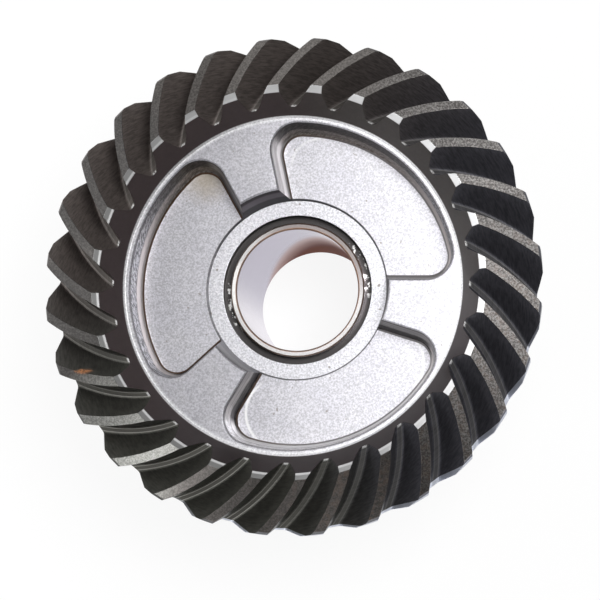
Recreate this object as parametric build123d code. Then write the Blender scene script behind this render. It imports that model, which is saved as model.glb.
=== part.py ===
from build123d import *
import math
import os

# Outboard reverse gear: one spiral bevel gear with a dog-clutch face, and the
# bush pressed into its bore. The axis is +Z, the toothed face looks up, and the
# origin is on the axis at the rear end of the hub, so the gear stands on its hub.

# Teeth, cut by a face-mill cutter; sizes are at the heel (the outer end)
tooth_count = 28
mating_tooth_count = 15
outer_module = 3.6
spiral_angle = 36.0
cutter_radius = 44.45
cutter_point_width = 1.7
cutter_edge_radius = 0.6
cutter_edge_flats = 2
cutter_overrun = 5.5
blade_reach_factor = 1.6
flank_angle = 20.0
whole_depth_factor = 1.888
addendum_factor = 0.572
clearance_factor = 0.188
first_space_azimuth = -7.7

# Blank
face_height = 42.5
apex_above_face = 26.2
face_rim_radius = 35.05
rim_edge_break = 0.25
toe_slope = 57.1
toe_facet = 1.5
toe_facet_slope = 29.0
heel_land_height = 3.0
heel_lean = 18.0
heel_depth = 9.0
heel_edge_break = 0.45
back_slope = 40.0
back_face_depth = 15.0

# Hub behind the teeth
shoulder_radius = 26.0
shoulder_height = 2.5
bearing_seat_radius = 20.0
bearing_seat_length = 18.5
relief_width = 1.2
relief_depth = 0.3
hub_end_radius = 19.6
hub_end_chamfer = 1.0

# Dog-clutch face: a drafted recess round the bore, three pockets, three lands
recess_depth = 7.8
recess_top_radius = 20.05
recess_floor_radius = 18.75
pocket_count = 3
pocket_depth = 7.0
pocket_rim_width = 1.1
pocket_draft = 10.5
pocket_corner_radius = 5.6
pocket_edge_break = 0.3
pocket_foot_flat = 0.6
flat_draft = 45.0
land_inner_width = 8.4
land_flare = 8.6
first_land_azimuth = 110.1

# Bush and its seat
bore_radius = 12.7
bush_wall = 1.35
bush_length = 34.0
bush_below_recess = 0.15
bush_edge_break = 0.3
moat_radius = 15.6
moat_depth = 2.2
seat_chamfer = 0.6

# Two points this close count as one
near = 0.01

# Derived sizes
pitch_radius = outer_module * tooth_count / 2
pitch_angle = math.atan2(tooth_count, mating_tooth_count)
cone_distance = pitch_radius / math.sin(pitch_angle)
addendum = addendum_factor * outer_module
whole_depth = whole_depth_factor * outer_module
blade_reach = blade_reach_factor * whole_depth
dedendum = whole_depth - addendum
root_angle = pitch_angle - math.atan2(dedendum, cone_distance)
mating_dedendum = addendum + clearance_factor * outer_module
face_angle = pitch_angle + math.atan2(mating_dedendum, cone_distance)
tip_radius = pitch_radius + addendum * math.cos(pitch_angle)
apex_height = face_height + apex_above_face
recess_floor = face_height - recess_depth
pocket_floor = face_height - pocket_depth
pocket_radius = face_rim_radius - pocket_rim_width
back_face = face_height - back_face_depth
shoulder_face = back_face - shoulder_height
seat_radius = bore_radius + bush_wall
bush_top = recess_floor - bush_below_recess


def slope(degrees):
    return math.tan(math.radians(degrees))


def face_cone_height(radius):
    """Height of the tooth tips at this radius."""
    return apex_height - radius / math.tan(face_angle)


def toe_corner():
    """Where the toe cone would meet the face cone, before the facet."""
    rise = apex_height - face_height + face_rim_radius * slope(toe_slope)
    radius = rise / (slope(toe_slope) + 1 / math.tan(face_angle))
    return radius, face_cone_height(radius)


def toe_facet_points():
    """The two ends of the small facet at the toe of the tips, lower end first."""
    corner_radius, corner_height = toe_corner()
    dr = toe_facet * math.cos(math.radians(toe_facet_slope))
    dz = toe_facet * math.sin(math.radians(toe_facet_slope))
    fall = 1 / math.tan(face_angle)
    # The upper end slides out along the face cone until the lower end meets the toe cone
    outward = (slope(toe_slope) * dr - dz) / (slope(toe_slope) + fall)
    upper = (corner_radius + outward, corner_height - outward * fall)
    lower = (upper[0] - dr, upper[1] - dz)
    return lower, upper


def gear_blank():
    """The turned blank, with the recess, the bush seat and the bearing seat."""
    facet_lower, facet_upper = toe_facet_points()
    tip_height = face_cone_height(tip_radius)
    land_bottom = tip_height - heel_land_height
    heel_bottom = face_height - heel_depth
    heel_radius = tip_radius - (land_bottom - heel_bottom) * slope(heel_lean)
    back_radius = heel_radius - (heel_bottom - back_face) / slope(back_slope)
    seat_end = shoulder_face - bearing_seat_length
    break_height = rim_edge_break * slope(toe_slope)
    recess_lean = (recess_top_radius - recess_floor_radius) / recess_depth
    profile = [
        (seat_radius + seat_chamfer, 0),
        (hub_end_radius - hub_end_chamfer, 0),
        (hub_end_radius, hub_end_chamfer),
        (hub_end_radius, seat_end),
        (bearing_seat_radius, seat_end + bearing_seat_radius - hub_end_radius),
        (bearing_seat_radius, shoulder_face - relief_width),
        (bearing_seat_radius - relief_depth, shoulder_face - relief_width + relief_depth),
        (bearing_seat_radius - relief_depth, shoulder_face),
        (shoulder_radius, shoulder_face),
        (shoulder_radius, back_face),
        (back_radius, back_face),
        (heel_radius, heel_bottom),
        (tip_radius, land_bottom),
        (tip_radius, tip_height - heel_edge_break),
        (tip_radius - heel_edge_break, face_cone_height(tip_radius - heel_edge_break)),
        facet_upper,
        facet_lower,
        (face_rim_radius + rim_edge_break, face_height + break_height),
        (face_rim_radius - rim_edge_break, face_height),
        (recess_top_radius + pocket_edge_break, face_height),
        (recess_top_radius - pocket_edge_break * recess_lean, face_height - pocket_edge_break),
        (recess_floor_radius, recess_floor),
        (moat_radius, recess_floor),
        (moat_radius, recess_floor - moat_depth),
        (seat_radius, recess_floor - moat_depth),
        (seat_radius, seat_chamfer),
    ]
    outline = Polyline(*[(radius, 0, height) for radius, height in profile], close=True)
    # Turned so that the seam of the round faces lies in a pocket, clear of the lands
    turn = first_land_azimuth + 180 / pocket_count
    return Rot(0, 0, turn) * revolve(make_face(outline), Axis.Z)


def blade_section(reach):
    """Section of the blades, tip at height 0: each rounded edge is drawn as a few flats."""
    half_bottom = cutter_point_width / 2
    edge_turn = 90 - flank_angle
    inset = cutter_edge_radius * slope(edge_turn / 2)
    side = []
    for index in range(cutter_edge_flats + 1):
        turn = math.radians(edge_turn * index / cutter_edge_flats)
        across = half_bottom - inset + cutter_edge_radius * math.sin(turn)
        side.append((across, cutter_edge_radius * (1 - math.cos(turn))))
    side.append((half_bottom + reach * slope(flank_angle), reach))
    outline = side + [(-across, height) for across, height in reversed(side)]
    return make_face(Polyline(
        *[(cutter_radius + across, 0, height) for across, height in outline], close=True
    ))


def tooth_space():
    """The ring segment that the cutter's blades sweep: one tooth space at azimuth 0."""
    root_slope = math.pi / 2 - root_angle
    root_heel = (cone_distance / math.cos(pitch_angle - root_angle)) * math.sin(root_angle)
    toe_rise = apex_above_face + face_rim_radius * slope(toe_slope)
    root_toe = toe_rise / (slope(toe_slope) + math.tan(root_slope))
    mean_radius = (root_toe + root_heel) / 2
    mean_point = Vector(mean_radius, 0, apex_height - mean_radius * math.tan(root_slope))
    outward = Vector(math.cos(root_slope), 0, -math.sin(root_slope))
    lateral = Vector(0, 1, 0)
    normal = outward.cross(lateral)
    lean = math.radians(spiral_angle)
    to_centre = outward * -math.sin(lean) + lateral * -math.cos(lean)
    centre = mean_point + to_centre * cutter_radius
    # x of this plane points from the cutter's centre to the mean point of the space
    plane = Plane(origin=centre, x_dir=to_centre * -1, z_dir=normal)
    root_length = (root_heel - root_toe) / math.sin(root_angle)
    half_path = root_length / 2 / math.cos(lean) + cutter_overrun
    half_sweep = math.degrees(half_path / cutter_radius)
    section = Rot(0, 0, -half_sweep) * blade_section(blade_reach)
    return plane.location * revolve(section, Axis.Z, revolution_arc=2 * half_sweep)


def pockets():
    """The three drafted clutch pockets between the lands, as one cutting tool."""
    inner_x = recess_top_radius * math.cos(math.asin(land_inner_width / 2 / recess_top_radius))
    outer_x = pocket_radius + land_inner_width
    start_x = inner_x / 2

    def half_width(x):
        return land_inner_width / 2 + (x - inner_x) * slope(land_flare)

    land = make_face(Polyline(
        (start_x, -half_width(start_x)),
        (outer_x, -half_width(outer_x)),
        (outer_x, half_width(outer_x)),
        (start_x, half_width(start_x)),
        close=True,
    ))
    area = Circle(pocket_radius) - Circle((start_x + inner_x) / 2)
    for index in range(pocket_count):
        area -= Rot(0, 0, first_land_azimuth + index * 360 / pocket_count) * land
    near_rim = [v for v in area.vertices() if math.hypot(v.X, v.Y) > pocket_radius - near]
    area = fillet(near_rim, pocket_corner_radius)
    # Drawn upside down, because a draft that narrows upward gives true planes and cones
    wall_end = pocket_depth - pocket_foot_flat
    widened = pocket_edge_break * (slope(flat_draft) - slope(pocket_draft))
    tool = narrowing(area, widened, 0, pocket_edge_break, flat_draft)
    wall_inset = pocket_edge_break * slope(pocket_draft)
    tool += narrowing(area, -wall_inset, pocket_edge_break, wall_end, pocket_draft)
    tool += narrowing(area, -wall_end * slope(pocket_draft), wall_end, pocket_depth, flat_draft)
    return Pos(0, 0, face_height) * mirror(tool, about=Plane.XY)


def narrowing(area, widened, start, end, draft):
    """The area, first widened, that grows narrower by the draft from the start to the end height."""
    outline = offset(area, widened, kind=Kind.INTERSECTION)
    return Pos(0, 0, start) * extrude(outline, amount=end - start, taper=draft)


def reverse_gear():
    space = Rot(0, 0, first_space_azimuth) * tooth_space()
    spaces = [Rot(0, 0, index * 360 / tooth_count) * space for index in range(tooth_count)]
    return gear_blank() - pockets() - spaces


def bore_bush():
    """Steel-backed bronze bush, pressed in until it is just below the recess floor."""
    # Its outer edges are broken for the press fit, its inner edge where the shaft comes in
    bottom = bush_top - bush_length
    profile = [
        (bore_radius, bottom),
        (seat_radius - bush_edge_break, bottom),
        (seat_radius, bottom + bush_edge_break),
        (seat_radius, bush_top - bush_edge_break),
        (seat_radius - bush_edge_break, bush_top),
        (bore_radius + bush_edge_break, bush_top),
        (bore_radius, bush_top - bush_edge_break),
    ]
    outline = Polyline(*[(radius, 0, height) for radius, height in profile], close=True)
    return revolve(make_face(outline), Axis.Z)


os.makedirs("parts", exist_ok=True)
export_step(reverse_gear(), "parts/reverse_gear.step")
export_step(bore_bush(), "parts/bore_bush.step")
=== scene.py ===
import bpy
import math
from mathutils import Matrix, Vector

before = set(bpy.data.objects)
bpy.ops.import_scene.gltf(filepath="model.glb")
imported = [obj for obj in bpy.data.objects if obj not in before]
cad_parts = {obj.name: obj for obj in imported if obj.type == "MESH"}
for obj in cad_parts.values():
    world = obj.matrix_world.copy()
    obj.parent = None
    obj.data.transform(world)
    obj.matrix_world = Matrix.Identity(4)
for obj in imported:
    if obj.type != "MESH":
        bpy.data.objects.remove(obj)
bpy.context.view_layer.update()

# The gear's sizes, in millimetres, in the frame's axes: +Z is the gear's axis, and the
# origin is at the rear end of the hub. Materials use them to tell one surface from another.
# Azimuths are turned from +X, which is at the right of the photograph, with 90 degrees near its
# top. Left, right, upper and lower are meant as in the photograph.
MM = 0.001
face_height = 42.5
apex_height = 68.7
rim_radius = 35.05
pocket_floor = 35.5
pocket_edge_break = 0.3
wall_seam = pocket_floor + 3.4
land_end_stripe = pocket_floor + 3.9
recess_floor = 34.7
recess_top_radius = 20.05
recess_foot_radius = 18.85
moat_radius = 15.6
bush_outer_radius = 14.05
bush_bore_radius = 12.7
bush_length = 34.0
back_face = 27.5

# Teeth
tooth_count = 28
mating_tooth_count = 15
outer_module = 3.6
pitch_angle = math.atan2(tooth_count, mating_tooth_count)
pitch_radius = outer_module * tooth_count / 2
cone_distance = pitch_radius / math.sin(pitch_angle)
addendum = 0.572 * outer_module
dedendum = 1.316 * outer_module
mating_dedendum = 0.76 * outer_module
root_angle = pitch_angle - math.atan2(dedendum, cone_distance)
face_angle = pitch_angle + math.atan2(mating_dedendum, cone_distance)
tip_radius = pitch_radius + addendum * math.cos(pitch_angle)
tip_height = apex_height - tip_radius / math.tan(face_angle)
toe_slope = math.radians(57.1)
toe_facet_slope = math.radians(29)
toe_facet_length = 1.5
heel_lean = math.radians(18)
heel_land = tip_height - 3.0
spiral_angle = math.radians(36)
cutter_radius = 44.45
cutter_point_width = 1.7
cutter_edge_radius = 0.6
flank_angle = math.radians(20)
first_space_azimuth = math.radians(-7.7)

# How much faster a curved tooth space turns with the radius than a straight spiral line does
space_turn = 1.13

# Marks on the surface. Faint arcs near three pocket corners: the centre and radius of the arc,
# the azimuth that its middle points to, and how strong it is.
corner_marks = (
    ((-3.3, -25.7), 7.3, 176, 0.75),
    ((19.3, -15.6), 7.1, 5, 0.40),
    ((4.6, 25.9), 5.6, 128, 0.35),
)

# Places and half sizes of a stain and a spot of rust
stain_place = (-19.0, 24.0, pocket_floor)
stain_size = (4.0, 4.0, 3.0)
rust_place = (-42.8, -17.2, 46.8)
rust_size = (1.9, 0.85, 1.3)

# Colours, as linear red, green and blue. A pair is mixed by a noise or from one side to another;
# most side to side mixes are painted light or shade.
# The blasted face, its ring and its marks:
silver = ((0.575, 0.568, 0.620), (0.655, 0.645, 0.675))
ring_silver = (0.73, 0.725, 0.765)
arc_white = (0.95, 0.95, 0.95)
stain_tan = (0.42, 0.35, 0.25)
pit_brown = (0.25, 0.22, 0.19)
# Edge wear with a painted highlight on the rim
rim_wear_and_highlight = (0.97, 0.97, 0.98)
# Painted shade at the step down to the ring
step_shade = (0.05, 0.048, 0.052)
groove_black = (0.075, 0.07, 0.07)
# Painted glints in the groove
groove_glint = (0.95, 0.94, 0.93)

# The walls of the pockets and lands:
streaks = ((0.07, 0.07, 0.075), (0.58, 0.58, 0.60))
# Painted light and shade: lit and shaded copies of the streaks, and of the low band below
streaks_lit = ((0.55, 0.54, 0.54), (0.92, 0.91, 0.91))
streaks_shaded = ((0.035, 0.030, 0.028), (0.10, 0.09, 0.085))
low_band = ((0.60, 0.56, 0.54), (0.85, 0.84, 0.84))
low_band_shaded = ((0.15, 0.13, 0.115), (0.34, 0.31, 0.285))
seam_grey = (0.16, 0.145, 0.14)
side_streaks = ((0.26, 0.25, 0.245), (0.42, 0.40, 0.39))
side_low_dark = ((0.035, 0.032, 0.032), (0.10, 0.095, 0.095))
# Painted light on the lands' sides at the upper right
side_low_lit = (0.66, 0.64, 0.63)
brim_black = (0.06, 0.056, 0.057)
foot_line = ((0.26, 0.25, 0.25), (0.13, 0.075, 0.045))
land_end_black = (0.05, 0.047, 0.052)
# Painted light levels of the land ends' stripe, by side
land_end_light_right = (0.13, 0.127, 0.13)
land_end_light_lower_left = (0.100, 0.096, 0.100)
land_end_light_top = (0.188, 0.171, 0.196)

# The teeth and the hub side:
oxide = ((0.071, 0.070, 0.081), (0.078, 0.066, 0.061))
oxide_olive = (0.062, 0.061, 0.053)
# The toe cone: painted shade at the lower right, and a painted reflection of the face
toe_cone_brown = ((0.060, 0.046, 0.046), (0.040, 0.032, 0.032))
toe_cone_reflection = (0.088, 0.081, 0.077)
top_speckled = ((0.17, 0.158, 0.153), (0.53, 0.51, 0.495))
# Smooth tops with their painted shade, and their painted highlight
top_smooth = ((0.125, 0.116, 0.110), (0.064, 0.061, 0.059))
top_highlight = (0.26, 0.26, 0.245)
top_brown = (0.30, 0.21, 0.165)
facet_dull = ((0.14, 0.14, 0.138), (0.40, 0.40, 0.40))
# Worn facet metal where painted light falls
facet_lit = (0.88, 0.88, 0.885)
root_strip = (0.090, 0.086, 0.076)
# Painted highlights along the root fillets and at their toe ends
root_line_highlight = (0.33, 0.325, 0.30)
root_tick_highlight = (0.75, 0.75, 0.74)
# Painted highlight on the heel edges and painted light on the heel ends, both at the lower right
heel_edge_highlight = (0.80, 0.83, 0.92)
heel_end_dark = ((0.035, 0.036, 0.045), (0.055, 0.055, 0.062))
heel_end_lit = (0.50, 0.52, 0.60)
rust = ((0.13, 0.05, 0.02), (0.48, 0.20, 0.075))
turned_grey = ((0.42, 0.41, 0.40), (0.52, 0.51, 0.50))

# The bush:
# The bore's painted reflection, and its copper painted darker deeper in as shade
bore_reflection = ((0.84, 0.815, 0.885), (0.43, 0.41, 0.515))
bore_copper = ((0.40, 0.22, 0.165), (0.26, 0.072, 0.034))
bore_pink = (0.46, 0.24, 0.18)
# The bush's end face, with painted shade at the upper right, and its painted highlight on the
# left
bush_end = ((0.67, 0.655, 0.655), (0.32, 0.285, 0.28))
bush_end_highlight = (0.93, 0.92, 0.90)
bush_edge_copper = (0.50, 0.29, 0.19)

# Roughness of each finish
silver_roughness = 0.42
ring_roughness = 0.38
wall_roughness = 0.45
oxide_roughness = 0.42
worn_roughness = 0.5
top_roughness = 0.34
rust_roughness = 0.8
turned_roughness = 0.34
bore_roughness = (0.26, 0.7)
bush_end_roughness = 0.42

# Soft lamps that look at the gear's face: azimuth and elevation in degrees, width and height in
# metres, and power in watts
lamps = {
    "key": (20, 68, 0.45, 0.45, 7.6),
    "left_window": (160, 30, 0.95, 0.45, 3.3),
    "upper_window": (95, 30, 0.6, 0.45, 1.4),
    "low_front": (222, 35, 0.3, 0.3, 1.3),
    "lower_right": (270, 30, 0.45, 0.45, 0.6),
}
lamp_distance = 0.9
world_strength = 0.05

# The floor's section in metres, as radius and height: flat, with a low curved rim far outside
# every view. It lies just below the hub.
floor_section = ((2.6, 0.0), (2.8, 0.03), (2.92, 0.12), (2.98, 0.3), (3.0, 0.6))
floor_segments = 96
floor_gap = 0.1

# The photograph's viewpoint: over the gear's lower right side, rolled on the view axis
camera_place = (82.2, -73.2, 590.0)
camera_target = (1.74, -3.16, face_height)
camera_roll = math.radians(-49.5)
camera_lens = 163.5
camera_sensor = 36


def toe_radius(angle):
    """Radius at which a cone from the apex, at this angle to the axis, meets the toe cone."""
    toe_cone_to_apex = apex_height - face_height + rim_radius * math.tan(toe_slope)
    return toe_cone_to_apex / (math.tan(toe_slope) + 1 / math.tan(angle))


def toe_facet():
    """The lower and upper end of the toe facet, each as radius and height."""
    fall = 1 / math.tan(face_angle)
    radius = toe_radius(face_angle)
    height = apex_height - radius * fall
    dr = toe_facet_length * math.cos(toe_facet_slope)
    dz = toe_facet_length * math.sin(toe_facet_slope)
    outward = (math.tan(toe_slope) * dr - dz) / (math.tan(toe_slope) + fall)
    upper = (radius + outward, height - outward * fall)
    return (upper[0] - dr, upper[1] - dz), upper


class Graph:
    """Small helpers that add shader nodes to one material and join them."""

    def __init__(self, name):
        self.material = bpy.data.materials.new(name)
        self.material.use_nodes = True
        self.tree = self.material.node_tree
        self.tree.nodes.clear()
        self.output = self.add("ShaderNodeOutputMaterial")

    def add(self, kind, **values):
        node = self.tree.nodes.new(kind)
        for key, value in values.items():
            setattr(node, key, value)
        return node

    def feed(self, socket, value):
        """Join an output to a socket, or set a plain value on it."""
        if isinstance(value, bpy.types.NodeSocket):
            self.tree.links.new(value, socket)
        else:
            socket.default_value = value

    def math(self, operation, *values):
        node = self.add("ShaderNodeMath", operation=operation)
        for socket, value in zip(node.inputs, values):
            self.feed(socket, value)
        return node.outputs[0]

    def plus(self, *values):
        result = values[0]
        for value in values[1:]:
            result = self.math("ADD", result, value)
        return result

    def minus(self, a, b):
        return self.math("SUBTRACT", a, b)

    def times(self, *values):
        result = values[0]
        for value in values[1:]:
            result = self.math("MULTIPLY", result, value)
        return result

    def most(self, *values):
        result = values[0]
        for value in values[1:]:
            result = self.math("MAXIMUM", result, value)
        return result

    def size(self, value):
        return self.math("ABSOLUTE", value)

    def step(self, value, low, high):
        """0 below low and 1 above high, smooth between; falls instead if low is above high."""
        rising = low < high
        node = self.add("ShaderNodeMapRange", interpolation_type="SMOOTHSTEP")
        self.feed(node.inputs["Value"], value)
        node.inputs["From Min"].default_value = min(low, high)
        node.inputs["From Max"].default_value = max(low, high)
        node.inputs["To Min"].default_value = 0.0 if rising else 1.0
        node.inputs["To Max"].default_value = 1.0 if rising else 0.0
        return node.outputs["Result"]

    def band(self, value, middle, half_width, soft):
        """1 within half_width of the middle, falling to 0 over soft."""
        return self.step(self.size(self.minus(value, middle)), half_width + soft, half_width)

    def between(self, value, low, high, soft):
        """1 from low to high, falling to 0 over soft on both sides."""
        return self.band(value, (low + high) / 2, (high - low) / 2, soft)

    def mix(self, factor, a, b):
        """Colours a and b mixed."""
        # Inputs 6 and 7 and output 2 are the ones that carry colours
        node = self.add("ShaderNodeMix", data_type="RGBA")
        self.feed(node.inputs["Factor"], factor)
        for socket, value in ((node.inputs[6], a), (node.inputs[7], b)):
            self.feed(socket, (*value, 1) if isinstance(value, tuple) else value)
        return node.outputs[2]

    def blend(self, factor, a, b):
        """Numbers a and b mixed."""
        node = self.add("ShaderNodeMix", data_type="FLOAT")
        self.feed(node.inputs[0], factor)
        self.feed(node.inputs[2], a)
        self.feed(node.inputs[3], b)
        return node.outputs[0]

    def tint(self, colour, amount):
        """The colour made lighter or darker by a number near 1."""
        node = self.add("ShaderNodeVectorMath", operation="SCALE")
        self.feed(node.inputs[0], colour)
        self.feed(node.inputs["Scale"], amount)
        return node.outputs[0]

    def combine(self, x, y, z):
        node = self.add("ShaderNodeCombineXYZ")
        for socket, value in zip(node.inputs, (x, y, z)):
            self.feed(socket, value)
        return node.outputs[0]

    def noise(self, position, scale, detail, roughness):
        node = self.add("ShaderNodeTexNoise")
        self.feed(node.inputs["Vector"], position)
        node.inputs["Scale"].default_value = scale
        node.inputs["Detail"].default_value = detail
        node.inputs["Roughness"].default_value = roughness
        return node.outputs["Fac"]

    def bump(self, strength, distance, height):
        node = self.add("ShaderNodeBump")
        node.inputs["Strength"].default_value = strength
        node.inputs["Distance"].default_value = distance
        self.feed(node.inputs["Height"], height)
        return node

    def surface(self, colour, metal, roughness, normal):
        shader = self.add("ShaderNodeBsdfPrincipled")
        self.feed(shader.inputs["Base Color"], colour)
        self.feed(shader.inputs["Metallic"], metal)
        self.feed(shader.inputs["Roughness"], roughness)
        self.feed(shader.inputs["Normal"], normal)
        self.feed(self.output.inputs["Surface"], shader.outputs["BSDF"])
        return shader


class Place:
    """Where a surface point is, in millimetres, and which way it faces, with three noises.

    In the functions below, g is a material's graph and p is the place on its surface.
    """

    def __init__(self, graph):
        g = self.graph = graph
        source = g.add("ShaderNodeTexCoord")
        self.position = g.tint(source.outputs["Object"], 1 / MM)
        parts = g.add("ShaderNodeSeparateXYZ")
        g.feed(parts.inputs[0], self.position)
        self.x, self.y, self.z = parts.outputs
        self.radius = g.math("SQRT", g.plus(g.times(self.x, self.x), g.times(self.y, self.y)))
        self.azimuth = g.math("ARCTAN2", self.y, self.x)

        # How far the surface faces up, and how far away from the axis
        normal = g.add("ShaderNodeSeparateXYZ")
        g.feed(normal.inputs[0], source.outputs["Normal"])
        nx, ny, self.up = normal.outputs
        along = g.plus(g.times(nx, self.x), g.times(ny, self.y))
        self.out = g.math("DIVIDE", along, self.radius)

        self.fine = g.noise(self.position, scale=2.6, detail=3.0, roughness=0.7)
        self.medium = g.noise(self.position, scale=0.9, detail=3.0, roughness=0.6)
        self.broad = g.noise(self.position, scale=0.16, detail=3.0, roughness=0.55)

    def facing(self, azimuth):
        """Cosine of the angle about the axis from here to this azimuth, in degrees."""
        return self.graph.math("COSINE", self.graph.minus(self.azimuth, math.radians(azimuth)))

    def toward(self, azimuth, low, high):
        """1 on the gear's side at this azimuth, and 0 where that cosine is under low."""
        return self.graph.step(self.facing(azimuth), low, high)


def above_cone(g, p, radius, height, slope):
    """Signed distance above a cone that passes (radius, height) and rises outward by slope."""
    run = g.minus(p.radius, radius)
    rise = g.minus(p.z, height)
    return g.minus(g.times(rise, math.cos(slope)), g.times(run, math.sin(slope)))


def space_coordinates(g, p):
    """Place within the nearest tooth space, as the cutter sees it: across and above the root."""
    root_slope = math.pi / 2 - root_angle
    root_heel = cone_distance / math.cos(pitch_angle - root_angle) * math.sin(root_angle)
    mean_radius = (toe_radius(root_angle) + root_heel) / 2
    outward = Vector((math.cos(root_slope), 0, -math.sin(root_slope)))
    lateral = Vector((0, 1, 0))
    normal = outward.cross(lateral)
    to_centre = -math.sin(spiral_angle) * outward - math.cos(spiral_angle) * lateral
    mean_point = Vector((mean_radius, 0, apex_height - mean_radius * math.tan(root_slope)))
    centre = mean_point + to_centre * cutter_radius

    # Turn the point back by whole pitches, to the space that lies nearest
    pitch = 2 * math.pi / tooth_count
    lag = math.tan(spiral_angle) / mean_radius * space_turn
    lean = g.times(g.minus(p.radius, mean_radius), lag)
    from_first = g.minus(p.azimuth, first_space_azimuth)
    index = g.math("ROUND", g.times(g.plus(from_first, lean), 1 / pitch))
    turned = g.minus(from_first, g.times(index, pitch))
    x = g.times(p.radius, g.math("COSINE", turned))
    y = g.times(p.radius, g.math("SINE", turned))

    # Measure it from the cutter's axis
    dx, dy, dz = g.minus(x, centre.x), g.minus(y, centre.y), g.minus(p.z, centre.z)
    above = g.plus(g.times(dx, normal.x), g.times(dy, normal.y), g.times(dz, normal.z))
    squares = g.plus(g.times(dx, dx), g.times(dy, dy), g.times(dz, dz))
    from_axis = g.math("SQRT", g.minus(squares, g.times(above, above)))
    return g.minus(from_axis, cutter_radius), above


def spot(g, p, centre, size, soft):
    """1 inside an uneven blob round a point, falling to 0 over soft."""
    offset = g.add("ShaderNodeVectorMath", operation="SUBTRACT")
    g.feed(offset.inputs[0], p.position)
    offset.inputs[1].default_value = centre
    shape = g.add("ShaderNodeVectorMath", operation="DIVIDE")
    g.feed(shape.inputs[0], offset.outputs[0])
    shape.inputs[1].default_value = size
    length = g.add("ShaderNodeVectorMath", operation="LENGTH")
    g.feed(length.inputs[0], shape.outputs[0])
    ragged = g.plus(length.outputs["Value"], g.times(0.9, g.minus(p.medium, 0.5)))
    return g.step(ragged, 1 + soft, 1 - soft)


def corner_arc(g, p, centre, radius, pointing, strength):
    """A faint light arc on a pocket's floor, near one corner."""
    heading = math.radians(pointing)
    dx, dy = g.minus(p.x, centre[0]), g.minus(p.y, centre[1])
    away = g.math("SQRT", g.plus(g.times(dx, dx), g.times(dy, dy)))
    ahead = g.plus(g.times(dx, math.cos(heading)), g.times(dy, math.sin(heading)))
    sector = g.step(g.math("DIVIDE", ahead, away), 0.45, 0.85)
    return g.times(g.band(away, radius, 0.12, 0.30), sector, strength)


def blasted_face(g, p, grain, ring):
    """Blasted silver with a fine grain, painted lighter on the right and darker on the left,
    darkest on the lands there, with the ring painted lighter there.
    """
    face = g.mix(ring, g.mix(p.broad, *silver), ring_silver)
    on_land = g.step(p.z, face_height - 0.1, face_height - 0.05)
    on_left = g.blend(ring, g.blend(on_land, 0.94, 0.80), 1.14)
    # Painted light and shade by side: lighter on the right, darker on the left, darkest on the
    # lands there, and the ring there painted lightest
    painted_side_light = g.blend(p.toward(175, -0.3, 0.6), 1.08, on_left)
    return g.tint(face, g.times(painted_side_light, g.plus(0.76, g.times(0.44, grain))))


def marked_face(g, p, face, grain):
    """The face with tool arcs and a tan stain on the pocket floors, pits, and a rim painted near
    white: edge wear with a painted highlight.
    """
    on_floor = g.times(g.band(p.z, pocket_floor, 0.02, 0.02), g.step(p.up, 0.9, 0.95))
    arcs = g.most(*(corner_arc(g, p, *mark) for mark in corner_marks))
    face = g.mix(g.times(arcs, on_floor), face, arc_white)
    stain = spot(g, p, stain_place, stain_size, 0.9)
    face = g.mix(g.times(stain, on_floor, 0.65), face, stain_tan)
    pits = g.step(g.noise(p.position, scale=0.8, detail=1.0, roughness=0.5), 0.745, 0.775)
    face = g.mix(g.times(pits, 0.7), face, pit_brown)
    # Near white on the rim: edge wear with a painted highlight
    rim = g.step(p.radius, rim_radius - 1.0, rim_radius - 0.25)
    return g.mix(g.times(rim, g.plus(0.45, g.times(0.45, grain))), face, rim_wear_and_highlight)


def outer_wall_skin(g, p, hatch, low, seam_distance):
    """A pocket's outer wall: streaked above and smoother below, darkest at the top, with painted
    light on the lower right side and painted shade on the upper side.
    """
    # Lit and shaded copies of the skin, painted by side
    shaded_side = p.toward(98, 0.3, 0.8)
    lit_side = p.toward(285, 0.5, 0.9)
    above = g.mix(lit_side, g.mix(hatch, *streaks), g.mix(hatch, *streaks_lit))
    above = g.mix(shaded_side, above, g.mix(hatch, *streaks_shaded))
    below = g.mix(shaded_side, g.mix(lit_side, *low_band), g.mix(hatch, *low_band_shaded))
    seam = g.times(g.band(seam_distance, 0, 0.12, 0.2), g.minus(1, shaded_side), 0.6)
    return g.mix(seam, g.mix(low, above, below), seam_grey)


def side_wall_skin(g, p, hatch, low):
    """The lands' sides: grey above, nearly black below, but painted light makes them pale below
    at the upper right.
    """
    below = g.mix(p.toward(60, 0.3, 0.9), g.mix(hatch, *side_low_dark), side_low_lit)
    return g.mix(low, g.mix(hatch, *side_streaks), below)


def land_end_skin(g, p):
    """The lands' inner ends, over the recess: nearly black, with painted shade at the foot, each
    with a grey stripe whose lightness is painted by side.
    """
    # Painted light and shade: the stripe's grey changes by side
    grey = g.mix(p.toward(230, 0.6, 0.9), land_end_light_right, land_end_light_lower_left)
    grey = g.mix(p.toward(110, 0.6, 0.9), grey, land_end_light_top)
    return g.mix(g.band(p.z, land_end_stripe, 0.9, 0.9), land_end_black, grey)


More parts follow.
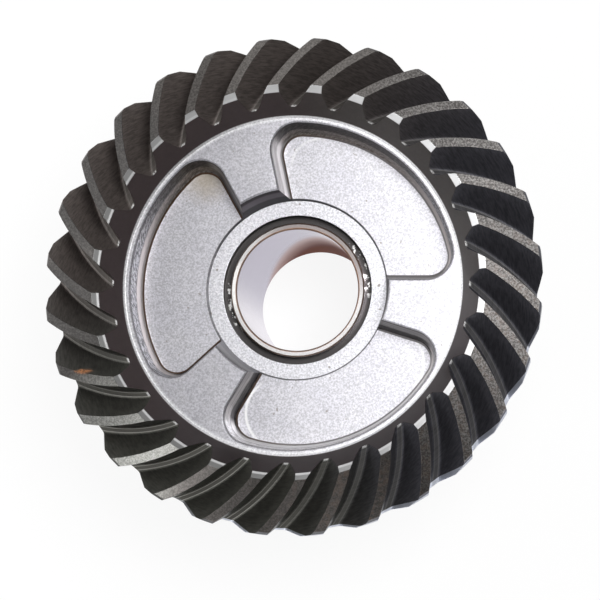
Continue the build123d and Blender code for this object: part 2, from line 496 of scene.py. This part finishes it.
def wall_skin(g, p):
    """Walls round the pockets and the lands: rough forged skin in two bands."""
    arc = g.times(p.azimuth, rim_radius)
    slanted = g.combine(g.plus(arc, g.times(1.5, p.z)), g.times(0.35, g.minus(arc, p.z)), 0)
    hatch = g.step(g.noise(slanted, scale=1.5, detail=3.0, roughness=0.75), 0.42, 0.60)
    seam_distance = g.minus(g.plus(p.z, g.times(0.6, p.medium)), wall_seam)
    low = g.step(seam_distance, 0.3, -0.3)
    near_recess = g.step(p.radius, recess_top_radius + 1.5, recess_top_radius + 0.8)
    in_pocket = g.minus(1, g.times(near_recess, g.step(p.out, -0.5, -0.8)))
    outer_wall = g.times(in_pocket, g.step(p.out, -0.35, -0.70))
    outer_skin = outer_wall_skin(g, p, hatch, low, seam_distance)
    skin = g.mix(outer_wall, side_wall_skin(g, p, hatch, low), outer_skin)

    # Dark under the top edge, and a brown or grey line at the foot
    brim = g.between(p.z, face_height - 0.75, face_height - pocket_edge_break, 0.15)
    skin = g.mix(g.times(brim, 0.75), skin, brim_black)
    line = g.times(g.between(p.z, pocket_floor + 0.04, pocket_floor + 0.30, 0.12), in_pocket)
    skin = g.mix(g.times(line, 0.9), skin, g.mix(p.toward(170, -0.4, 0.5), *foot_line))
    return g.mix(in_pocket, land_end_skin(g, p), skin)


def clutch_face(g, p):
    """Colour and roughness of the blasted face, its pockets, the ring and the groove."""
    grain = g.step(p.fine, 0.34, 0.66)
    ring = g.times(g.step(p.radius, recess_foot_radius + 0.1, recess_foot_radius),
                   g.step(p.z, recess_floor + 0.1, recess_floor + 0.05))
    face = marked_face(g, p, blasted_face(g, p, grain, ring), grain)
    wall = g.times(g.step(p.up, 0.93, 0.85),
                   g.step(p.z, face_height - 0.25, face_height - pocket_edge_break))
    colour = g.mix(wall, face, wall_skin(g, p))
    roughness = g.blend(wall, g.blend(ring, silver_roughness, ring_roughness), wall_roughness)

    # Painted shade: a dark line at the step from the pocket floors down to the ring
    foot = g.times(g.band(p.radius, recess_foot_radius, 0.12, 0.14),
                   g.step(p.z, pocket_floor + 0.4, pocket_floor + 0.1))
    colour = g.mix(g.times(foot, 0.85), colour, step_shade)

    # Groove round the bush: not blasted, dark, with bright painted glints near the bush on the
    # two lit sides
    groove = g.times(g.step(p.radius, moat_radius + 0.05, moat_radius - 0.02),
                     g.step(p.z, recess_floor - 0.05, recess_floor - 0.25))
    inner = g.step(p.radius, moat_radius - 0.3, moat_radius - 0.8)
    lit = g.most(p.toward(192, 0.90, 0.98), p.toward(18, 0.88, 0.97))
    glints = g.times(g.step(p.medium, 0.54, 0.60), inner, lit)
    return g.mix(groove, colour, g.mix(glints, groove_black, groove_glint)), roughness


def flank_skin(g, p):
    """Flanks: thin dark oxide, with fine brush marks at right angles to the tooth, the oxide's
    tint changing by side, and painted light making the upper left lighter.
    """
    across_tooth = g.combine(g.times(p.radius, 3.2), g.times(p.z, 0.5), p.azimuth)
    brush = g.step(g.noise(across_tooth, scale=1.0, detail=3.0, roughness=0.7), 0.30, 0.70)
    skin = g.mix(p.toward(240, 0.4, 0.9), g.mix(p.toward(130, -0.2, 0.7), *oxide), oxide_olive)
    brushed = g.plus(0.60, g.times(0.65, brush), g.times(0.25, p.medium))
    # Painted light on the upper left side
    return g.tint(skin, g.times(brushed, g.blend(p.toward(135, 0.6, 0.9), 1.0, 1.35)))


def toe_cone_skin(g, p):
    """The cone at the toe of the teeth: brown oxide, with painted shade at the lower right and a
    painted reflection of the face making it palest at the upper right.
    """
    cone = g.mix(p.toward(290, 0.3, 0.8), *toe_cone_brown)
    cone = g.mix(p.toward(38, 0.5, 0.9), cone, toe_cone_reflection)
    return g.tint(cone, g.plus(0.75, g.times(0.25, p.fine), g.times(0.25, p.medium)))


def tooth_top_skin(g, p):
    """Tops of the teeth: turned skin, smooth on the left and speckled on the right, with painted
    highlights at the upper right and lower left and painted shade on the left.
    """
    speckle = g.step(p.fine, 0.38, 0.66)
    rough = g.mix(speckle, *top_speckled)
    # Painted highlight on the speckled tops at the upper right
    rough = g.tint(rough, g.blend(p.toward(38, 0.93, 0.985), 1.0, 1.5))
    # Painted shade on the left, and a painted highlight at the lower left
    top_shade = g.most(p.toward(150, 0.87, 0.97), p.toward(188, 0.93, 0.985))
    smooth = g.mix(p.toward(222, 0.93, 0.99), g.mix(top_shade, *top_smooth), top_highlight)
    smooth = g.tint(smooth, g.plus(0.70, g.times(0.6, speckle)))
    skin = g.mix(p.toward(5, 0.35, 0.85), smooth, rough)
    brown = g.times(p.toward(-35, 0.3, 0.95), g.step(p.medium, 0.45, 0.62), 0.25)
    return g.mix(brown, skin, top_brown)


def toe_facets(g, p):
    """Where the toe facets are, and their worn bright colour, with painted light making them
    brightest on the right.
    """
    lower, upper = toe_facet()
    on_slope = g.band(above_cone(g, p, *lower, toe_facet_slope), 0, 0.05, 0.05)
    facet = g.times(on_slope, g.between(p.radius, lower[0] - 0.05, upper[0] + 0.05, 0.05))
    inner_edge = g.step(p.radius, lower[0] + 0.55, lower[0] + 0.25)
    # Worn metal painted lighter by side: brightest on the right, with more painted light at the
    # lower left and less toward the top
    worn = g.mix(p.toward(30, -0.7, 0.85), g.mix(inner_edge, *facet_dull), facet_lit)
    lift = g.blend(p.toward(70, 0.85, 0.97), 1.0, 0.80)
    return facet, g.tint(worn, g.blend(p.toward(252, 0.7, 0.95), lift, 1.35))


def root_strip_and_highlights(g, p, colour, toe_rise):
    """The colour with a grey strip and painted highlights at each root, and how much of a
    highlight is here.
    """
    across, above = space_coordinates(g, p)
    at_root = g.band(above, 0.0, 0.10, 0.10)
    off_middle = g.size(across)
    root_half = (cutter_point_width / 2
                 - cutter_edge_radius * math.tan((math.pi / 2 - flank_angle) / 2))

    # A grey strip with a painted highlight line along both sides, both painted strongest at the
    # lower left
    lower_left = p.toward(236, 0.80, 0.97)
    strip = g.times(at_root, g.step(off_middle, root_half + 0.1, root_half - 0.1))
    colour = g.mix(g.times(strip, g.blend(lower_left, 0.35, 0.8)), colour, root_strip)
    lines = g.times(at_root, g.band(off_middle, root_half, 0.04, 0.09),
                    g.blend(lower_left, 0.22, 0.85))
    colour = g.mix(lines, colour, root_line_highlight)

    # A painted highlight as a bright tick on the edge at the toe end
    tick = g.times(at_root, g.step(off_middle, 0.5, 0.3), g.step(toe_rise, -0.55, -0.15),
                   g.step(p.fine, 0.36, 0.5))
    return g.mix(tick, colour, root_tick_highlight), g.most(lines, tick)


def heel_ends_and_highlights(g, p, colour):
    """The colour with the teeth's outer ends, and how much of a painted highlight on a heel edge
    is here.

    At the lower right, painted light makes the ends pale, and the chamfered edges next to them
    carry a bluish painted highlight.
    """
    lean_rise = g.plus(g.times(g.minus(p.radius, tip_radius), math.cos(heel_lean)),
                       g.times(g.minus(heel_land, p.z), math.sin(heel_lean)))
    to_cylinder = g.times(g.step(p.z, heel_land - 0.3, heel_land), g.minus(tip_radius, p.radius))
    to_heel = g.most(to_cylinder, g.times(-1, lean_rise))
    end_face = g.step(p.out, 0.8, 0.9)
    lower_right = p.toward(298, 0.45, 0.8)
    edge_width = g.blend(p.toward(318, 0.86, 0.98), 0.34, 0.85)
    edge = g.times(g.step(g.minus(to_heel, edge_width), 0.10, 0.0), g.minus(1, end_face),
                   lower_right)
    colour = g.mix(edge, colour, heel_edge_highlight)
    end_colour = g.mix(lower_right, g.mix(p.medium, *heel_end_dark), heel_end_lit)
    return g.mix(end_face, colour, end_colour), edge


def toothed_ring(g, p):
    """Colour, metal share and roughness of the teeth: dark oxide, grey tops, bright edges that
    are partly worn and partly painted highlights.
    """
    toe_rise = above_cone(g, p, rim_radius, face_height, toe_slope)
    colour = g.mix(g.band(toe_rise, 0, 0.06, 0.06), flank_skin(g, p), toe_cone_skin(g, p))
    top_rise = above_cone(g, p, 0, apex_height, face_angle - math.pi / 2)
    top = g.band(top_rise, 0, 0.05, 0.05)
    colour = g.mix(top, colour, tooth_top_skin(g, p))
    facet, facet_colour = toe_facets(g, p)
    colour = g.mix(facet, colour, facet_colour)
    colour, root_highlights = root_strip_and_highlights(g, p, colour, toe_rise)
    colour, heel_highlight = heel_ends_and_highlights(g, p, colour)
    rusty = spot(g, p, rust_place, rust_size, 0.5)
    colour = g.mix(rusty, colour, g.mix(g.step(p.fine, 0.35, 0.65), *rust))

    bright = g.most(facet, root_highlights, heel_highlight, top)
    metal = g.times(g.blend(bright, 0.6, 1.0), g.minus(1, rusty))
    roughness = g.blend(top, g.blend(bright, oxide_roughness, worn_roughness), top_roughness)
    return colour, metal, g.blend(rusty, roughness, rust_roughness)


def turned_back(g, p):
    """Colour of the hub side: turned faces and a ground bearing seat."""
    along_cut = g.combine(p.radius, g.times(p.z, 0.6), 0)
    rings = g.noise(along_cut, scale=4.0, detail=2.0, roughness=0.6)
    return g.tint(g.mix(p.broad, *turned_grey), g.plus(0.8, g.times(0.4, rings)))


def gear_steel():
    """Blasted silver clutch face, oxide-dark teeth with grey tops, turned hub."""
    g = Graph("gear_steel")
    p = Place(g)
    face_colour, face_roughness = clutch_face(g, p)
    tooth_colour, tooth_metal, tooth_roughness = toothed_ring(g, p)

    toothed = g.step(p.radius, rim_radius + 0.05, rim_radius + 0.25)
    behind = g.step(p.z, back_face + 0.1, back_face - 0.1)
    colour = g.mix(behind, g.mix(toothed, face_colour, tooth_colour), turned_back(g, p))
    metal = g.blend(behind, g.blend(toothed, 1.0, tooth_metal), 1.0)
    roughness = g.blend(toothed, face_roughness, tooth_roughness)
    roughness = g.blend(behind, roughness, turned_roughness)

    rounding = g.add("ShaderNodeBevel", samples=4)
    g.feed(rounding.inputs["Radius"], g.blend(toothed, 0.16 * MM, 0.10 * MM))
    bump = g.bump(0.35, 0.03 * MM, p.fine)
    g.feed(bump.inputs["Normal"], rounding.outputs[0])
    g.surface(colour, metal, roughness, bump.outputs[0])
    return g.material


def bush_bronze():
    """Steel-backed bronze bush: pale end face with coppery edges, bore from a painted pale
    reflection to copper.
    """
    g = Graph("bush_bronze")
    p = Place(g)

    # Bore: pale on the left with a painted reflection, copper toward the right and deeper in,
    # painted darker deeper in as shade, with a pink band between
    depth = g.minus(recess_floor, p.z)
    warm = g.step(g.plus(g.times(0.6, p.facing(25)), g.times(1 / bush_length, depth)), 0.52, 1.08)
    pale = g.mix(p.toward(125, 0.2, 0.85), *bore_reflection)
    copper = g.mix(g.step(depth, 3, 16), *bore_copper)
    pink = g.times(g.band(warm, 0.45, 0.20, 0.30), 0.6)
    bore = g.mix(pink, g.mix(warm, pale, copper), bore_pink)
    bore = g.tint(bore, g.plus(0.9, g.times(0.2, p.medium)))

    # End face: steel, with the bronze showing as a thin line at both edges
    # Painted shade at the upper right and a painted highlight on the left
    end = g.mix(p.toward(62, 0.2, 0.85), *bush_end)
    end = g.mix(p.toward(176, 0.90, 0.98), end, bush_end_highlight)
    end = g.tint(end, g.plus(0.75, g.times(0.5, p.fine)))
    rims = g.most(g.band(p.radius, bush_bore_radius + 0.2, 0.10, 0.12),
                  g.band(p.radius, bush_outer_radius - 0.15, 0.06, 0.1))
    end = g.mix(g.times(rims, 0.75), end, bush_edge_copper)

    at_end = g.step(p.up, 0.3, 0.6)
    metal = g.blend(at_end, g.blend(warm, 1.0, 0.1), 1.0)
    roughness = g.blend(at_end, g.blend(warm, *bore_roughness), bush_end_roughness)
    bump = g.bump(0.15, 0.02 * MM, p.medium)
    shader = g.surface(g.mix(at_end, bore, end), metal, roughness, bump.outputs[0])
    shader.inputs["Specular IOR Level"].default_value = 0.2
    return g.material


def floor_material():
    """White for the camera and in reflections, with the object's shadow kept."""
    g = Graph("floor_white")
    diffuse = g.add("ShaderNodeBsdfDiffuse")
    diffuse.inputs["Color"].default_value = (0.92, 0.92, 0.92, 1)
    glow = g.add("ShaderNodeEmission")
    glow.inputs["Strength"].default_value = 1.0
    path = g.add("ShaderNodeLightPath")
    rays = ("Is Camera Ray", "Is Glossy Ray", "Is Transmission Ray")
    seen = g.most(*(path.outputs[name] for name in rays))
    mix = g.add("ShaderNodeMixShader")
    g.feed(mix.inputs[0], g.times(seen, 0.9))
    g.feed(mix.inputs[1], diffuse.outputs[0])
    g.feed(mix.inputs[2], glow.outputs[0])
    g.feed(g.output.inputs["Surface"], mix.outputs[0])
    return g.material


def add_floor():
    """A round pale floor, turned from its section."""
    points = [(0, 0, 0)]
    for radius, height in floor_section:
        for index in range(floor_segments):
            turn = 2 * math.pi * index / floor_segments
            points.append((radius * math.cos(turn), radius * math.sin(turn), height))
    faces = []
    for index in range(floor_segments):
        after = (index + 1) % floor_segments
        faces.append((0, 1 + index, 1 + after))
        for ring in range(len(floor_section) - 1):
            inner = 1 + ring * floor_segments
            outer = inner + floor_segments
            faces.append((inner + index, outer + index, outer + after, inner + after))
    mesh = bpy.data.meshes.new("floor")
    mesh.from_pydata(points, [], faces)
    mesh.shade_smooth()
    mesh.materials.append(floor_material())
    floor = bpy.data.objects.new("floor", mesh)
    bpy.context.collection.objects.link(floor)
    floor.location.z = -floor_gap * MM


def add_world():
    """Plain weak light from everywhere."""
    world = bpy.data.worlds.new("studio")
    bpy.context.scene.world = world
    world.use_nodes = True
    background = world.node_tree.nodes["Background"]
    background.inputs["Color"].default_value = (1, 1, 1, 1)
    background.inputs["Strength"].default_value = world_strength


def add_lamp(name, azimuth, elevation, width, height, power):
    """A rectangular soft lamp in this direction from the middle of the gear's face."""
    light = bpy.data.lights.new(name, "AREA")
    light.shape = "RECTANGLE"
    light.size = width
    light.size_y = height
    light.energy = power
    lamp = bpy.data.objects.new(name, light)
    bpy.context.collection.objects.link(lamp)
    a, e = math.radians(azimuth), math.radians(elevation)
    away = Vector((math.cos(a) * math.cos(e), math.sin(a) * math.cos(e), math.sin(e)))
    lamp.location = Vector((0, 0, face_height * MM)) + away * lamp_distance
    lamp.rotation_mode = "QUATERNION"
    lamp.rotation_quaternion = away.to_track_quat("Z", "Y")


def add_camera():
    """The camera at the photograph's viewpoint."""
    place = Vector(camera_place) * MM
    target = Vector(camera_target) * MM
    data = bpy.data.cameras.new("camera")
    data.sensor_width = camera_sensor
    data.lens = camera_lens
    data.clip_start = 0.01
    data.clip_end = 20
    camera = bpy.data.objects.new("camera", data)
    bpy.context.collection.objects.link(camera)
    facing = (target - place).to_track_quat("-Z", "Y").to_matrix().to_4x4()
    turned = facing @ Matrix.Rotation(camera_roll, 4, "Z")
    camera.matrix_world = Matrix.Translation(place) @ turned
    bpy.context.scene.camera = camera


def dress(node, material):
    """Give one of the frame's nodes its material."""
    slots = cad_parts[node].data.materials
    if len(slots):
        slots[0] = material
    else:
        slots.append(material)


dress("reverse_gear", gear_steel())
dress("bore_bush", bush_bronze())
add_floor()
add_world()
for name, settings in lamps.items():
    add_lamp(name, *settings)
add_camera()
bpy.context.scene.view_settings.view_transform = "Standard"
